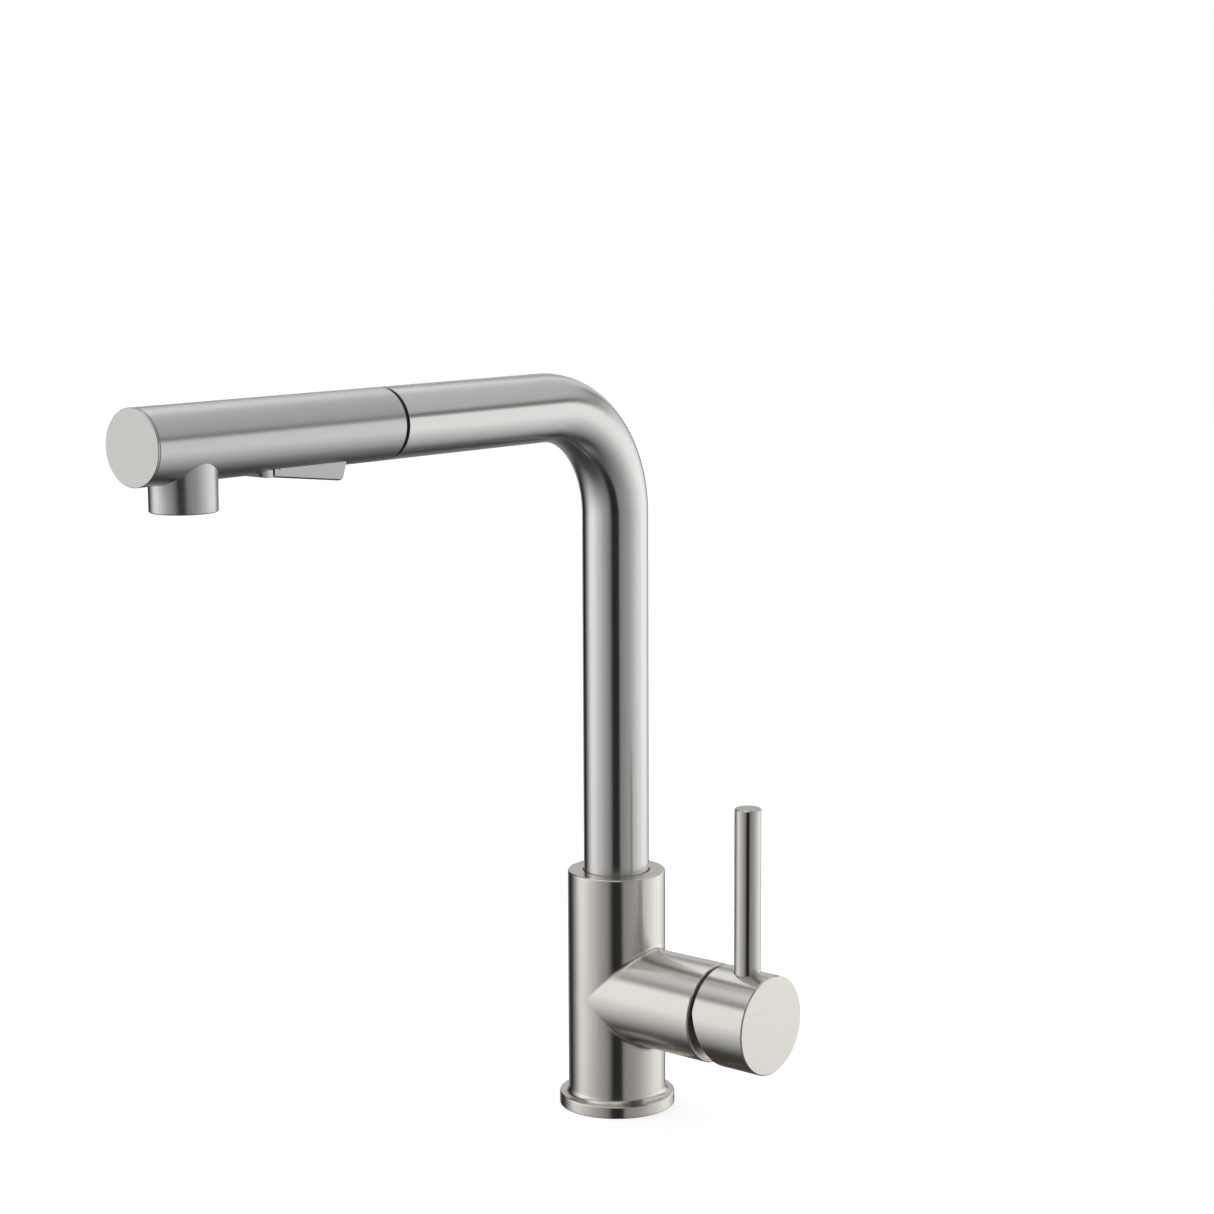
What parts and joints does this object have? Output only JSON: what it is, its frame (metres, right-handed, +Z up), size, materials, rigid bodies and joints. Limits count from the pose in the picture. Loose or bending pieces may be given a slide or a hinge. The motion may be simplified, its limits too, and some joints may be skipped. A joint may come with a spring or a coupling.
{
  "type": "pull down kitchen faucet",
  "caption": "Deck mounted single lever kitchen faucet with a level swivelling spout and a pull-out spray head with an underside trigger.",
  "frame": {"origin": "centre of the foot flange's underside, on the body's axis, in the deck's top face", "axes": "+Z up along the body, -Y along the spout, +X along the valve to the lever"},
  "size_m": [0.1158, 0.3077, 0.422],
  "materials": {
    "brushed_nickel": "fine brushed nickel, clear sealed",
    "black_rubber": "matt moulded rubber",
    "brass": "turned brass",
    "steel": "plain stainless steel",
    "grey_plastic": "moulded acetal",
    "white_plastic": "moulded nylon",
    "black_plastic": "satin moulded plastic",
    "ceramic": "lapped alumina ceramic",
    "hose_braid": "woven nylon braid"
  },
  "bodies": {
    "body": {"body": "brushed_nickel", "deck_gasket": "black_rubber", "mounting_shank": "brass", "rubber_washer": "black_rubber", "steel_washer": "steel", "mounting_nut": "brass", "valve_manifold": "brass", "cartridge_base": "grey_plastic", "port_seals": "black_rubber", "fixed_disc": "ceramic", "cartridge_shell": "grey_plastic", "cartridge_nut": "brass", "dome_ring": "brushed_nickel", "upper_bush": "white_plastic", "friction_ring": "black_rubber", "lower_bush": "white_plastic", "bush_circlip": "steel", "stop_screw": "steel"},
    "spout": {"spout_tube": "brushed_nickel", "spout_collar": "brass", "dock_bush": "black_plastic", "pull_out_hose": "hose_braid", "hose_fitting": "brass"},
    "spray_head": {"head_shell": "brushed_nickel", "head_end_cap": "brushed_nickel", "dock_collar": "black_plastic", "hose_nut": "brass", "filter_washer": "black_rubber", "check_valve": "white_plastic", "waterway_body": "grey_plastic", "spray_housing": "grey_plastic", "spray_mat": "black_rubber", "spray_face": "black_plastic", "aerator_insert": "grey_plastic", "trigger_pin": "steel", "trigger_spring": "steel"},
    "trigger_lever": {"trigger": "brushed_nickel"},
    "diverter": {"diverter_plunger": "brass"},
    "valve_turn": {"spindle_guide": "white_plastic", "pivot_pin": "steel"},
    "disc_slider": {"moving_disc": "ceramic", "disc_driver": "white_plastic"},
    "lever": {"spindle": "steel", "handle_cap": "brushed_nickel", "lever_rod": "brushed_nickel", "handle_screw": "steel", "handle_plug": "black_plastic"}
  },
  "joints": [
    {"name": "spout_swivel", "type": "hinge", "parent": "body", "child": "spout", "pos_m": [0, 0, 0.09], "axis": [0, 0, 1], "range_deg": [-120, 120]},
    {"name": "head_pull", "type": "slide", "parent": "spout", "child": "spray_head", "axis": [0, -1, 0], "range_m": [0, 0.45]},
    {"name": "trigger_press", "type": "hinge", "parent": "spray_head", "child": "trigger_lever", "pos_m": [0, -0.2128, 0.315], "axis": [1, 0, 0], "range_deg": [0, 6], "stiffness_Nm_per_rad": 0.05, "springref_deg": -5.73, "deforming": ["trigger_spring"]},
    {"name": "diverter_lift", "type": "slide", "parent": "spray_head", "child": "diverter", "axis": [0, 0, 1], "range_m": [0, 0.0018]},
    {"name": "handle_turn", "type": "hinge", "parent": "body", "child": "valve_turn", "pos_m": [0.05, 0, 0.0535], "axis": [1, 0, 0], "range_deg": [-45, 45]},
    {"name": "handle_tilt", "type": "hinge", "parent": "valve_turn", "child": "lever", "pos_m": [0.05, 0, 0.0535], "axis": [0, 1, 0], "range_deg": [0, 20]},
    {"name": "disc_slide", "type": "slide", "parent": "valve_turn", "child": "disc_slider", "axis": [0, 0, 1], "range_m": [0, 0.0046]}
  ],
  "couplings": [
    {"joint": "diverter_lift", "follows": "trigger_press", "m_per_rad": 0.016},
    {"joint": "disc_slide", "follows": "handle_tilt", "m_per_rad": 0.01269}
  ]
}
